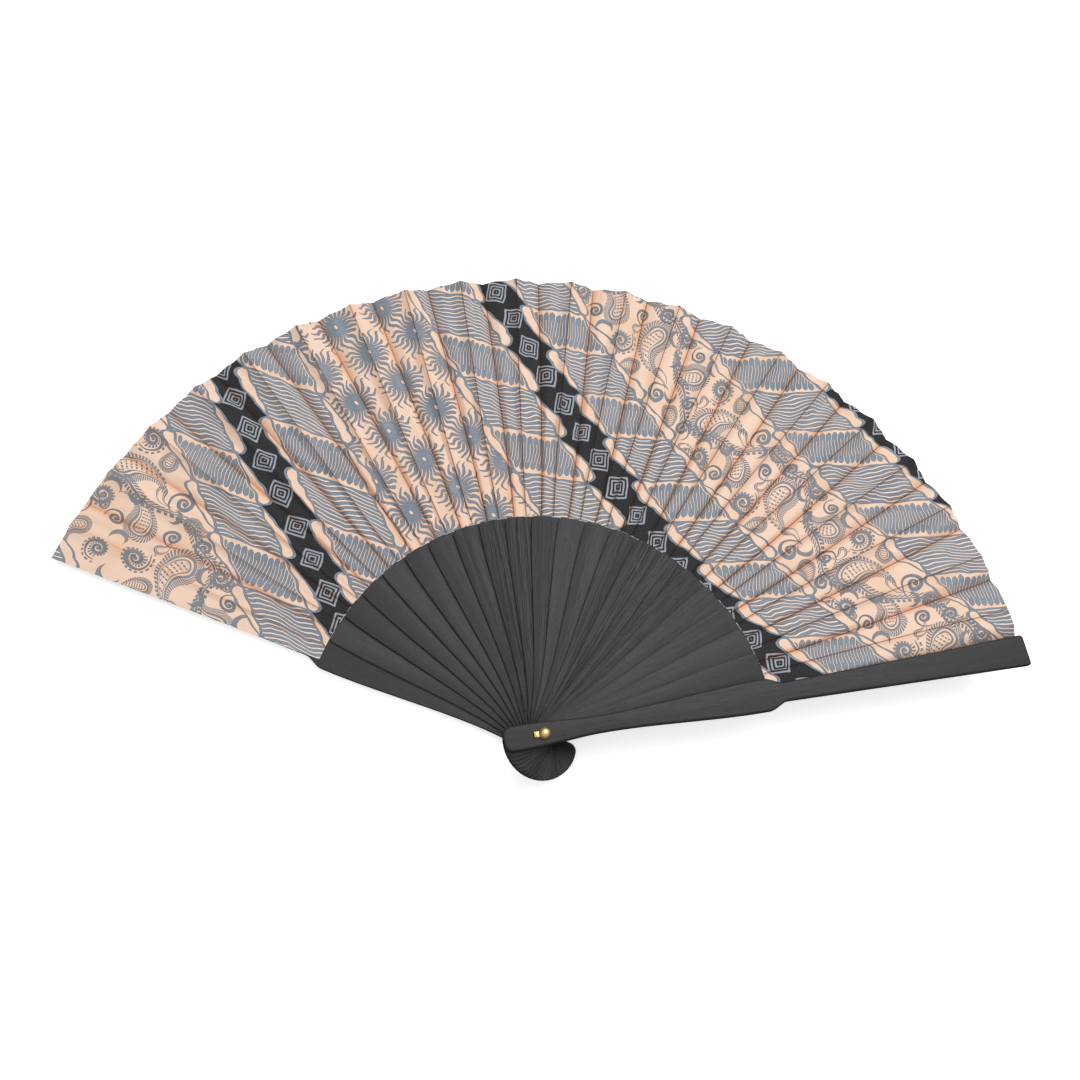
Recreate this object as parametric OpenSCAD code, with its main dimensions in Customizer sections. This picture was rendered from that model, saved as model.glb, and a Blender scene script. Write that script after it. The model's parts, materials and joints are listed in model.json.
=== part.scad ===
// Folding hand fan: two guards, a stack of ribs between them on one rivet, and a
// pleated cloth leaf. It lies open and flat: the rivet's axis is Z, the middle of the
// spread leaf points along +Y, and the rivet tail's flat end rests on Z = 0.
// The leaf is a row of thin closed pleats, one glued on each stick.

/* [Spread] */
// Angle between the two guards when the fan is fully open, in degrees
open_angle = 147.5; // [120:0.5:160]
// Ribs between the two guards
rib_count = 20; // [12:1:24]

/* [Leaf] */
// Rivet axis to the rim of the leaf, which is also the tip of each guard
leaf_outer_r = 212; // [190:1:250]
// Rivet axis to the inner edge of the leaf
leaf_inner_r = 95.5; // [80:0.5:115]
// Thickness of one pleat with its glue
pleat_t = 0.4; // [0.3:0.05:0.5]
// Air above each pleat in the stack
fold_clear = 0.1; // [0.05:0.05:0.15]

/* [Sticks] */
// Rivet axis to the round end of every stick's head
head_len = 16.5; // [13:0.5:22]
// Width of the head
head_w = 10; // [8:0.5:13]
// Rivet axis to the narrowest place of the handle
waist_x = 23; // [18:1:30]
// Width at the narrowest place
waist_w = 6.9; // [5.5:0.1:8]
// Greatest width, at the shoulder under the leaf
shoulder_w = 13.4; // [11:0.2:16]
// Thickness of a rib's blade, which fills its place in the stack
blade_t = 0.95; // [0.7:0.05:1.3]
// Air between two sticks in the stack
stick_gap = 0.05; // [0.03:0.01:0.1]
// Rounding of a rib's shoulder corners
rib_shoulder_r = 1.8; // [1:0.1:3]

/* [Slips] */
// Width of the slip that carries the leaf
slip_w = 3.6; // [2.4:0.2:5]
// Distance from a slip's tip to the rim
slip_short = 4; // [2:1:12]

/* [Guards] */
// Thickness of each guard
guard_t = 3; // [2.2:0.1:4.5]
// Width of a guard just past its shoulder
guard_neck_w = 7.8; // [6:0.2:10]
// Width of a guard at its tip
guard_tip_w = 13.4; // [10:0.2:16]
// Length over which a guard's shoulder steps in to its neck
guard_shoulder_len = 8.5; // [6:0.5:12]
// Distance from where that step starts to where the ribs' shoulders end
guard_shoulder_lead = 2; // [0:0.5:5]
// Rounding of the guard's square tip
guard_tip_r = 1.4; // [0.5:0.1:2.5]

/* [Rivet] */
// Diameter of the rivet's shank
pin_d = 2.6; // [2:0.1:3.4]
// Radial clearance of every stick on the shank
pin_clear = 0.06; // [0.02:0.01:0.1]
// Diameter of the domed head
dome_d = 5; // [4.2:0.1:6.5]
// Height of the domed head
dome_h = 1.5; // [1:0.1:2.2]
// Thickness of the tab washer under the domed head
tab_washer_t = 0.4; // [0.3:0.05:0.6]
// Diameter of the tab washer
tab_washer_d = 4.4; // [4:0.1:6]
// Width of the washer's tab
tab_w = 2.2; // [1.6:0.1:3]
// Rivet axis to the rolled lip at the tab's end
tab_reach = 4.1; // [3.4:0.1:5.5]
// Diameter of the rolled lip
tab_lip_d = 0.9; // [0.7:0.05:1.2]
// Diameter of the washer under the back guard
tail_washer_d = 5.8; // [5:0.1:8]
// Thickness of the washer under the back guard
tail_washer_t = 0.4; // [0.3:0.05:0.8]
// Greatest diameter of the peened tail
peen_d = 4; // [3.6:0.1:4.8]
// Height of the peened tail
peen_h = 0.5; // [0.4:0.1:1]

/* [Hidden] */
$fn = 96;
last = rib_count + 1;                      // number of the front guard, counted from the back guard as 0
pitch_angle = open_angle / last;           // turn from one stick to the next
layer = blade_t + stick_gap;               // height that one rib takes in the stack
slip_t = blade_t - pleat_t - fold_clear;   // a slip leaves room for its pleat
guard_z = tail_washer_t + peen_h;          // underside of the back guard
front_z = guard_z + guard_t + stick_gap + rib_count * layer;
top_z = front_z + guard_t;                 // upper face of the front guard
seat_gap = 0.05;                           // air between the front guard and the tab washer
leaf_gap = 0.5;                            // air between a rib's shoulder and the leaf
blade_end = leaf_inner_r - leaf_gap;       // where the ribs' shoulders stop
shoulder_x = blade_end - guard_shoulder_lead;
neck_x = shoulder_x + guard_shoulder_len;
leaf_end_angle = atan(guard_neck_w / 2 / neck_x);   // the leaf's first edge just covers the back guard's neck
leaf_hem = 0.7;                            // the leaf's last edge stays this far under the front guard's tip
leaf_hem_angle = atan((guard_tip_w / 2 - leaf_hem) / leaf_outer_r);
head_r = 0.36 * head_w;                    // rounding of the head's corners
head_flat_x = -8;                          // the handle starts to narrow here, just past the head
pin_r = pin_d / 2;
bore_r = pin_r + pin_clear;                // bore of every stick and washer
peen_flat_r = 0.275 * peen_d;              // flat end of the peened tail
past = 1;                                  // how far a cutter runs past what it cuts
curve_steps = 12;                          // points along one curved stretch of an outline
corner_steps = 6;                          // points round one corner

wood = "#2e2e31";
cloth = "#ecb68c";
cloth_dark = "#8e98a6";
brass = "#c9a04c";

function two(i) = str(i < 10 ? "0" : "", i);
function rib_name(i) = str("rib_", two(i));
function pleat_name(i) = str("pleat_", two(i));

// Direction of stick i: stick 0 is the back guard on the left, the last is the front guard
function stick_angle(i) = 90 + open_angle / 2 - i * pitch_angle;

// Underside of rib i in the stack
function rib_z(i) = guard_z + guard_t + stick_gap + (i - 1) * layer;

// Underside of pleat i: the first is let into the back guard, the last into the front one
function pleat_z(i) =
    i == 0 ? guard_z + guard_t - pleat_t :
    i == last ? front_z :
    rib_z(i) + slip_t;

// Smooth step from a to b while u goes from 0 to 1
function ease(a, b, u) = a + (b - a) * u * u * (3 - 2 * u);

// Points (x, half width) of a curved stretch, from x0 to x1
function stretch(x0, x1, h0, h1) =
    [for (s = [1:curve_steps]) let (u = s / curve_steps) [x0 + (x1 - x0) * u, ease(h0, h1, u)]];

// Points round a convex corner: centre, radius, first and last angle
function corner(cx, cy, r, a0, a1) =
    [for (s = [0:corner_steps]) let (a = a0 + (a1 - a0) * s / corner_steps)
        [cx + r * cos(a), cy + r * sin(a)]];

// One side of the handle, from the end of the head to the shoulder
handle_side = concat(
    corner(head_r - head_len, head_w / 2 - head_r, head_r, 180, 90),
    [[head_flat_x, head_w / 2]],
    stretch(head_flat_x, waist_x, head_w / 2, waist_w / 2),
    stretch(waist_x, shoulder_x, waist_w / 2, shoulder_w / 2)
);

// One side of a guard, from the end of the head to its tip
guard_side = concat(
    handle_side,
    stretch(shoulder_x, neck_x, shoulder_w / 2, guard_neck_w / 2),
    corner(leaf_outer_r - guard_tip_r, guard_tip_w / 2 - guard_tip_r, guard_tip_r, 90, 0)
);

// One side of a rib's blade, from the end of the head round its shoulder
blade_side = concat(
    handle_side,
    corner(blade_end - rib_shoulder_r, shoulder_w / 2 - rib_shoulder_r, rib_shoulder_r, 90, 0)
);

// Closed outline from one side and its mirror image
module mirrored(side) {
    polygon(concat(side, [for (i = [len(side) - 1:-1:0]) [side[i][0], -side[i][1]]]));
}

module pin_bore(z0, z1) {
    translate([0, 0, z0 - past]) cylinder(r = bore_r, h = z1 - z0 + 2 * past);
}

// Sector of the leaf between two radii and two angles
module sector(r0, r1, a0, a1, h) {
    far = r1 / cos((a1 - a0) / 2) + past;
    linear_extrude(h) intersection() {
        difference() {
            circle(r = r1);
            circle(r = r0);
        }
        polygon([[0, 0], far * [cos(a0), sin(a0)], far * [cos(a1), sin(a1)]]);
    }
}

// Step that lets the leaf into a guard's inner face
module leaf_rebate(z0) {
    translate([0, 0, z0]) linear_extrude(pleat_t + past) difference() {
        circle(r = leaf_outer_r + head_len);
        circle(r = blade_end);
    }
}

module back_guard() {
    color(wood) rotate([0, 0, stick_angle(0)]) difference() {
        translate([0, 0, guard_z]) linear_extrude(guard_t) mirrored(guard_side);
        pin_bore(guard_z, guard_z + guard_t);
        leaf_rebate(guard_z + guard_t - pleat_t);
    }
}

module front_guard() {
    color(wood) rotate([0, 0, stick_angle(last)]) difference() {
        translate([0, 0, front_z]) linear_extrude(guard_t) mirrored(guard_side);
        pin_bore(front_z, top_z);
        leaf_rebate(front_z - past);
    }
}

module rib(i) {
    slip_end = leaf_outer_r - slip_short;
    color(wood) rotate([0, 0, stick_angle(i)]) translate([0, 0, rib_z(i)]) difference() {
        union() {
            linear_extrude(blade_t) mirrored(blade_side);
            translate([blade_end - past, -slip_w / 2, 0])
                cube([slip_end - blade_end + past - slip_w / 2, slip_w, slip_t]);
            translate([slip_end - slip_w / 2, 0, 0]) cylinder(d = slip_w, h = slip_t);
        }
        pin_bore(0, blade_t);
    }
}

module pleat(i) {
    left = i == 0 ? leaf_end_angle : pitch_angle / 2;
    right = i == last ? leaf_hem_angle : pitch_angle / 2;
    color(i % 2 == 0 ? cloth : cloth_dark) rotate([0, 0, stick_angle(i)])
        translate([0, 0, pleat_z(i)])
            sector(leaf_inner_r, leaf_outer_r, -right, left, pleat_t);
}

// Shank with its domed head on top and its peened tail below, turned in one piece
module rivet_pin() {
    dome_z = top_z + seat_gap + tab_washer_t;
    dome_r = (dome_d * dome_d / 4 + dome_h * dome_h) / (2 * dome_h);
    dome_half = asin(dome_d / 2 / dome_r);
    color(brass) rotate_extrude() polygon(concat(
        [[0, 0], [peen_flat_r, 0], [peen_d / 2, peen_h], [pin_r, peen_h], [pin_r, dome_z]],
        [for (s = [0:curve_steps]) let (a = dome_half * (1 - s / curve_steps))
            [dome_r * sin(a), dome_z + dome_h - dome_r * (1 - cos(a))]]
    ));
}

// Washer under the domed head, with one tab that ends in a rolled lip
module tab_washer() {
    z = top_z + seat_gap;
    color(brass) rotate([0, 0, stick_angle(last) + 180]) difference() {
        union() {
            translate([0, 0, z]) cylinder(d = tab_washer_d, h = tab_washer_t);
            translate([0, -tab_w / 2, z]) cube([tab_reach, tab_w, tab_washer_t]);
            translate([tab_reach, tab_w / 2, z + tab_lip_d / 2])
                rotate([90, 0, 0]) cylinder(d = tab_lip_d, h = tab_w);
        }
        translate([0, 0, z - past]) cylinder(r = bore_r, h = tab_washer_t + 2 * past);
    }
}

module tail_washer() {
    color(brass) translate([0, 0, peen_h]) difference() {
        cylinder(d = tail_washer_d, h = tail_washer_t);
        translate([0, 0, -past]) cylinder(r = bore_r, h = tail_washer_t + 2 * past);
    }
}

back_guard();
for (i = [1:rib_count]) rib(i);
front_guard();
for (i = [0:last]) pleat(i);
rivet_pin();
tab_washer();
tail_washer();
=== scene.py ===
"""Dresses the folding hand fan: painted sticks, a brass rivet and a pleated batik leaf."""
import json
import logging
import math
from dataclasses import dataclass, field
from enum import Enum

import bmesh
import bpy
import numpy as np
from mathutils import Matrix, Vector


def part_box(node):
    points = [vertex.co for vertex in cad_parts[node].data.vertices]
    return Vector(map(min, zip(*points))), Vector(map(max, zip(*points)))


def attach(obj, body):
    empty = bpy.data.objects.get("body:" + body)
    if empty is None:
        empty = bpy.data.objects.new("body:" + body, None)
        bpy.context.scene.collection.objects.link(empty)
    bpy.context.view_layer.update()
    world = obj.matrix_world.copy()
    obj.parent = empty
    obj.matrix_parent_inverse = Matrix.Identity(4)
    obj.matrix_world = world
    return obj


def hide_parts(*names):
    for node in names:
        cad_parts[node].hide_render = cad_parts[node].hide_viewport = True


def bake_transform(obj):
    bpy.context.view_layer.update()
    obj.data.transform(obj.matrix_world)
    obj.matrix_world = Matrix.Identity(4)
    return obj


LOG = logging.getLogger("fan")
MM = 0.001

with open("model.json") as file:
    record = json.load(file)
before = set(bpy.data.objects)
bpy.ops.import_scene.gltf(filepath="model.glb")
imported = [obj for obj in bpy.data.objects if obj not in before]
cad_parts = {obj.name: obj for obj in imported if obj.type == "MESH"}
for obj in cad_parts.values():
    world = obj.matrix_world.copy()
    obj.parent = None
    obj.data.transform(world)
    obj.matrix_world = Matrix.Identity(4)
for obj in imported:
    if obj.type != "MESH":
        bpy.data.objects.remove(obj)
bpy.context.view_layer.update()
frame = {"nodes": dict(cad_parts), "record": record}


class Body(Enum):
    """The two bodies of the fan that have a name of their own."""

    BACK = "back_guard"
    FRONT = "front_guard"


class Slot(Enum):
    """Material slots of the record."""

    GUARD = "guard_wood"
    RIB = "rib_wood"
    LEAF = "leaf_cloth"
    BRASS = "brass"


# ---------------------------------------------------------------- node wiring


class Wire:
    """One value in a shader node tree. Arithmetic on it adds Math nodes."""

    def __init__(self, bench: "Bench", socket: bpy.types.NodeSocket) -> None:
        """Keeps the tree and the output socket that the value comes from."""
        self.bench = bench
        self.socket = socket

    def __add__(self, other: "Wire | float") -> "Wire":
        """Sum."""
        return self.bench.math("ADD", self, other)

    __radd__ = __add__

    def __sub__(self, other: "Wire | float") -> "Wire":
        """Difference."""
        return self.bench.math("SUBTRACT", self, other)

    def __rsub__(self, other: "Wire | float") -> "Wire":
        """Difference with the wire on the right."""
        return self.bench.math("SUBTRACT", other, self)

    def __mul__(self, other: "Wire | float") -> "Wire":
        """Product."""
        return self.bench.math("MULTIPLY", self, other)

    __rmul__ = __mul__

    def __truediv__(self, other: "Wire | float") -> "Wire":
        """Quotient."""
        return self.bench.math("DIVIDE", self, other)

    def __neg__(self) -> "Wire":
        """Opposite."""
        return self.bench.math("MULTIPLY", self, -1.0)

    def __abs__(self) -> "Wire":
        """Size without sign."""
        return self.bench.math("ABSOLUTE", self)

    def __gt__(self, other: "Wire | float") -> "Wire":
        """1 where this is greater, else 0."""
        return self.bench.math("GREATER_THAN", self, other)

    def __lt__(self, other: "Wire | float") -> "Wire":
        """1 where this is less, else 0."""
        return self.bench.math("LESS_THAN", self, other)


Wires = "dict[str, Wire]"        # a node group's inputs or outputs by name
Value = "Wire | float"
Colour = "tuple[float, float, float, float]"


class Bench:
    """A node tree being built, with short calls for the nodes that the finishes use."""

    def __init__(self, tree: bpy.types.NodeTree) -> None:
        """Starts on an empty or new tree."""
        self.tree = tree

    def node(self, kind: str, **settings: object) -> bpy.types.Node:
        """Adds one node.

        Args:
            kind: Blender's name of the node type.
            settings: values of the node's own properties.

        Returns:
            The new node.
        """
        made = self.tree.nodes.new(kind)
        for name, value in settings.items():
            setattr(made, name, value)
        return made

    def feed(self, socket: bpy.types.NodeSocket, value: object) -> None:
        """Links a wire to a socket, or sets the socket's own value.

        Args:
            socket: the input socket.
            value: a wire, a number, a vector or a colour.
        """
        if isinstance(value, Wire):
            self.tree.links.new(value.socket, socket)
        else:
            socket.default_value = value

    def math(self, operation: str, *values: Value) -> Wire:
        """Adds a Math node.

        Args:
            operation: Blender's name of the operation.
            values: its operands in order.

        Returns:
            The result.
        """
        made = self.node("ShaderNodeMath", operation=operation)
        for socket, value in zip(made.inputs, values):
            self.feed(socket, value)
        return Wire(self, made.outputs[0])

    def least(self, first: Wire, *others: Value) -> Wire:
        """Smallest of several values.

        Args:
            first: one value.
            others: the rest.

        Returns:
            The smallest.
        """
        for other in others:
            first = self.math("MINIMUM", first, other)
        return first

    def most(self, first: Wire, *others: Value) -> Wire:
        """Greatest of several values.

        Args:
            first: one value.
            others: the rest.

        Returns:
            The greatest.
        """
        for other in others:
            first = self.math("MAXIMUM", first, other)
        return first

    def sine(self, turns: Wire) -> Wire:
        """Sine of a value given in turns."""
        return self.math("SINE", turns * math.tau)

    def floor(self, value: Wire) -> Wire:
        """Whole part."""
        return self.math("FLOOR", value)

    def wrap(self, value: Wire, period: float) -> Wire:
        """Value folded into one period centred on zero."""
        return (self.math("FRACT", value / period + 0.5) - 0.5) * period

    def dice(self, value: Wire) -> Wire:
        """Steady pseudo-random number from 0 to 1 for each whole number.

        Args:
            value: a whole number.

        Returns:
            The random number.
        """
        made = self.node("ShaderNodeTexWhiteNoise", noise_dimensions="1D")
        self.feed(made.inputs["W"], value)
        return Wire(self, made.outputs["Value"])

    def hypot(self, x: Wire, y: Wire) -> Wire:
        """Length of the side across from a right angle."""
        return self.math("SQRT", x * x + y * y)

    def ease(self, value: Wire, low: float, high: float,
             start: float = 0.0, end: float = 1.0) -> Wire:
        """Smooth step from start to end while value goes from low to high.

        Args:
            value: what changes.
            low: where the step begins.
            high: where it ends.
            start: the result up to low.
            end: the result from high on.

        Returns:
            The result.
        """
        made = self.node("ShaderNodeMapRange", interpolation_type="SMOOTHSTEP")
        for socket, number in zip(made.inputs, (value, low, high, start, end)):
            self.feed(socket, number)
        return Wire(self, made.outputs[0])

    def choose(self, share: Value, low: Value, high: Value) -> Wire:
        """Value between low and high.

        Args:
            share: how far from low to high.
            low: value at 0.
            high: value at 1.

        Returns:
            The value.
        """
        made = self.node("ShaderNodeMix", data_type="FLOAT")
        for place, value in zip((0, 2, 3), (share, low, high)):
            self.feed(made.inputs[place], value)
        return Wire(self, made.outputs[0])

    def blend(self, share: Value, low: object, high: object, how: str = "MIX") -> Wire:
        """Colour between low and high.

        Args:
            share: how much of high.
            low: colour below.
            high: colour on top.
            how: Blender's name of the blend type.

        Returns:
            The colour.
        """
        made = self.node("ShaderNodeMix", data_type="RGBA", blend_type=how)
        for place, value in zip((0, 6, 7), (share, low, high)):
            self.feed(made.inputs[place], value)
        return Wire(self, made.outputs[2])

    def vector(self, x: object, y: object = 0.0, z: object = 0.0) -> Wire:
        """Vector from three values.

        Args:
            x: first value.
            y: second value.
            z: third value.

        Returns:
            The vector.
        """
        made = self.node("ShaderNodeCombineXYZ")
        for socket, value in zip(made.inputs, (x, y, z)):
            self.feed(socket, value)
        return Wire(self, made.outputs[0])

    def split(self, vector: Wire) -> "tuple[Wire, Wire, Wire]":
        """The three values of a vector.

        Args:
            vector: the vector.

        Returns:
            Its x, y and z.
        """
        made = self.node("ShaderNodeSeparateXYZ")
        self.feed(made.inputs[0], vector)
        return tuple(Wire(self, socket) for socket in made.outputs)

    def noise(self, where: Wire, scale: float, detail: float = 2.0, rough: float = 0.5) -> Wire:
        """Soft noise from about 0 to 1.

        Args:
            where: the place in the noise.
            scale: how fine it is.
            detail: how many finer layers it has.
            rough: how strong those are.

        Returns:
            The noise.
        """
        made = self.node("ShaderNodeTexNoise")
        named = {"Vector": where, "Scale": scale, "Detail": detail, "Roughness": rough}
        for name, value in named.items():
            self.feed(made.inputs[name], value)
        return Wire(self, made.outputs[0])

    def attribute(self, name: str) -> Wire:
        """Vector attribute of the mesh."""
        made = self.node("ShaderNodeAttribute", attribute_name=name)
        return Wire(self, made.outputs["Vector"])

    def bump(self, height: Wire, strength: float, distance: float) -> Wire:
        """Normal bent by a height.

        Args:
            height: the height.
            strength: how much of it shows.
            distance: metres for each unit of height.

        Returns:
            The normal.
        """
        made = self.node("ShaderNodeBump")
        for name, value in (("Height", height), ("Strength", strength), ("Distance", distance)):
            self.feed(made.inputs[name], value)
        return Wire(self, made.outputs[0])

    def group(self, part: "GroupRecipe", **values: object) -> Wires:
        """Places a node group.

        Args:
            part: the group's recipe.
            values: its inputs by name.

        Returns:
            Its outputs by name.
        """
        made = self.node("ShaderNodeGroup", node_tree=part.tree())
        for name, value in values.items():
            self.feed(made.inputs[name], value)
        return {socket.name: Wire(self, socket) for socket in made.outputs}


class GroupRecipe:
    """A shader node group that is built once and placed wherever it is needed."""

    title = "group"
    takes: "tuple[str, ...]" = ()
    gives: "tuple[str, ...]" = ()
    colours: "tuple[str, ...]" = ()
    built: "dict[str, bpy.types.NodeTree]" = {}

    def tree(self) -> bpy.types.NodeTree:
        """Builds the group on first use.

        Returns:
            The group's node tree.
        """
        if self.title in GroupRecipe.built:
            return GroupRecipe.built[self.title]
        tree = bpy.data.node_groups.new(self.title, "ShaderNodeTree")
        for name in self.takes:
            tree.interface.new_socket(name, in_out="INPUT", socket_type="NodeSocketFloat")
        for name in self.gives:
            kind = "NodeSocketColor" if name in self.colours else "NodeSocketFloat"
            tree.interface.new_socket(name, in_out="OUTPUT", socket_type=kind)
        bench = Bench(tree)
        entry = bench.node("NodeGroupInput")
        leave = bench.node("NodeGroupOutput")
        wires = {name: Wire(bench, entry.outputs[name]) for name in self.takes}
        for name, wire in self.draw(bench, wires).items():
            bench.feed(leave.inputs[name], wire)
        GroupRecipe.built[self.title] = tree
        return tree

    def draw(self, bench: Bench, given: Wires) -> Wires:
        """Builds the inside of the group; each recipe has its own.

        Args:
            bench: the bench on the group's tree.
            given: the group's inputs by name.

        Returns:
            The group's outputs by name.
        """
        raise NotImplementedError


# ---------------------------------------------------------------- batik print

REPEAT = 53.0          # one full repeat of the print along the bands, in mm
CELL = REPEAT / 2      # one cell of the striped bands
SLANT = 0.86           # how far a cell runs along the band for each mm across it
BAND_HALF = 10.8       # middle of a black band to the knots of its border
TURN = 0.758, 0.652    # cosine and sine between the slanted cells and the bands


@dataclass(frozen=True)
class Band:
    """A black band of the print: its middle, its pattern's centre and its stripes' widths."""

    across: float
    phase: float
    before: float
    after: float


BANDS = (
    Band(-190.0, 130.0, 34.5, 33.5),
    Band(-57.0, 156.15, 34.5, 39.5),
    Band(91.5, 151.6, 39.5, 34.5),
    Band(214.0, 6.2, 41.5, 34.5),
)
SUN_FIELD = 1                      # the field after this band holds sunbursts, the others paisleys
PAISLEY_MIDDLES = -114.75, 149.25  # where the paisley pattern is centred in its two fields


class Sunburst(GroupRecipe):
    """Row of discs with wavy rays, on a slanted lattice. Gives signed distances in mm."""

    title = "sunburst"
    takes = ("Across", "Along")
    gives = ("Distance",)

    ROW_STEP = 18.8        # from row to row, along the bands
    SLIDE = 8.8            # how far each row is shifted across the bands
    GAP = 27.0             # from disc to disc in a row
    START = 5.4, 148.4     # place of one disc, across and along
    DISC = 4.2             # radius of a disc
    SEED = 0.8             # half the width of its pale middle
    RAYS = 22.0
    RAY_END = 9.8          # where the shortest ray ends
    RAY_MORE = 4.8         # how much farther the longest one reaches

    def draw(self, bench: Bench, given: Wires) -> Wires:
        """Takes the nearest disc of the two nearest rows.

        Args:
            bench: the bench on the group's tree.
            given: the group's inputs by name.

        Returns:
            The group's outputs by name.
        """
        start_across, start_along = self.START
        row = (start_along - given["Along"]) / self.ROW_STEP
        best = None
        for offset in (0.0, 1.0):
            index = bench.floor(row) + offset
            dy = given["Along"] - start_along + index * self.ROW_STEP
            dx = bench.wrap(given["Across"] - start_across - index * self.SLIDE, self.GAP)
            reach = bench.hypot(dx, dy)
            if best is None:
                best = reach, dx, dy
            else:
                nearer = reach < best[0]
                best = (
                    bench.least(reach, best[0]),
                    bench.choose(nearer, best[1], dx),
                    bench.choose(nearer, best[2], dy),
                )
        reach, dx, dy = best
        angle = bench.math("ARCTAN2", dy, dx) / math.tau
        sway = 0.33 * bench.sine(reach / 8.5 + angle * 3.0)
        tremble = 0.07 * bench.sine(reach / 4.4 + angle * 7.0)
        rays = angle * self.RAYS + (sway + tremble)
        index = bench.floor(rays)
        luck = bench.dice(index)
        middle = abs(bench.math("FRACT", rays) - 0.5)
        ray_pitch = reach * (math.tau / self.RAYS)
        swell = bench.ease(reach, 4.0, 7.5, 0.50, 0.64) * bench.ease(reach, 8.5, 14.5, 1.0, 0.32)
        ray = bench.most(middle * ray_pitch - swell, reach - (self.RAY_END + luck * self.RAY_MORE))
        disc = reach - self.DISC
        seed = bench.hypot(dx * 0.94 + dy * 0.34, (dy * 0.94 - dx * 0.34) / 1.6) - self.SEED
        return {"Distance": bench.most(bench.least(disc, ray), -seed)}


class MotifPlace(GroupRecipe):
    """Local coordinates of one motif, repeated along the field and mirrored every other time."""

    title = "motif place"
    takes = ("Across", "Along", "At Across", "At Along", "Turn", "Size")
    gives = ("X", "Y")

    def draw(self, bench: Bench, given: Wires) -> Wires:
        """Finds the nearest repeat, then turns and scales about it.

        Args:
            bench: the bench on the group's tree.
            given: the group's inputs by name.

        Returns:
            The group's outputs by name.
        """
        steps = (given["Along"] - given["At Along"]) / REPEAT
        index = bench.floor(steps + 0.5)
        odd = abs(bench.wrap(index, 2.0))
        mirror = 1.0 - 2.0 * odd
        y = (steps - index) * REPEAT
        x = given["Across"] * mirror - given["At Across"]
        cosine = bench.math("COSINE", given["Turn"] * math.tau)
        sine = bench.sine(given["Turn"])
        return {
            "X": (x * cosine + y * sine) / given["Size"],
            "Y": (y * cosine - x * sine) / given["Size"],
        }


class Teardrop(GroupRecipe):
    """Paisley drop with a bent tail, inner outlines, a filling and a fringe."""

    title = "teardrop"
    takes = ("X", "Y", "Size", "Fringe")
    gives = ("Distance",)

    BEND = 0.30        # how far the tail leans over, in radians for each head radius
    TAIL = 3.1         # length of the tail past the head
    COMB = 30.0        # teeth of the fringe in a turn

    def draw(self, bench: Bench, given: Wires) -> Wires:
        """Works in head radii and gives mm.

        Args:
            bench: the bench on the group's tree.
            given: the group's inputs by name.

        Returns:
            The group's outputs by name.
        """
        x, y, size = given["X"], given["Y"], given["Size"]
        reach = bench.hypot(x, y)
        angle = bench.math("ARCTAN2", y, x) - self.BEND * reach
        swing = abs(bench.wrap(angle, math.tau))
        edge = 1.0 + self.TAIL * bench.math("EXPONENT", swing * -3.0)
        gap = reach - edge
        outline = abs(gap) - 0.11
        second = abs(gap + 0.42) - 0.06
        step = swing * (self.COMB / math.tau) - reach * 3.6
        comb = (abs(bench.math("FRACT", step) - 0.5) - 0.24) * 0.34
        fringe = bench.most(comb, abs(gap - 0.45) - 0.25) + (1.0 - given["Fringe"])
        hatch = abs(bench.wrap(x * 0.8 + y * 0.6, 0.42)) - 0.055
        dots = abs(bench.wrap(y * 0.8 - x * 0.6, 0.34)) - 0.10
        fill = bench.most(bench.most(hatch, dots), gap + 0.62) + (1.0 - given["Fringe"])
        return {"Distance": bench.least(outline, second, fringe, fill) * size}


class Curl(GroupRecipe):
    """Thick spiral hook that opens outwards."""

    title = "curl"
    takes = ("X", "Y", "Size", "Fringe")
    gives = ("Distance",)

    TIP = 0.42         # turns from the spiral's unit circle out to its tip
    HEART = -1.4       # and in to its start

    def draw(self, bench: Bench, given: Wires) -> Wires:
        """Follows a growing spiral for nearly two turns, with a comb outside it.

        Args:
            bench: the bench on the group's tree.
            given: the group's inputs by name.

        Returns:
            The group's outputs by name.
        """
        x, y = given["X"], given["Y"]
        reach = bench.hypot(x, y)
        turn = bench.math("ARCTAN2", y, x) / math.tau
        climb = bench.math("LOGARITHM", bench.most(reach, 0.02), 2.5) - turn
        winding = bench.floor(climb + 0.5)
        travel = winding + turn
        off = abs(climb - winding) * reach * 0.92
        taper = bench.ease(travel, -0.1, self.TIP, 1.0, 0.25)
        width = bench.ease(travel, -1.5, -0.4, 0.07, 0.20) * taper
        ends = bench.most(travel - self.TIP, self.HEART - travel)
        core = reach - 0.17
        step = abs(bench.math("FRACT", turn * 17.0) - 0.5) - 0.22
        comb = bench.most(step * 0.32, abs(off - 0.36) - 0.1)
        comb = bench.most(comb, bench.most(0.45 - reach, ends)) + (1.0 - given["Fringe"])
        body = bench.most(off - width, ends, 0.02 - off)
        return {"Distance": bench.least(body, core, comb) * given["Size"]}


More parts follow.
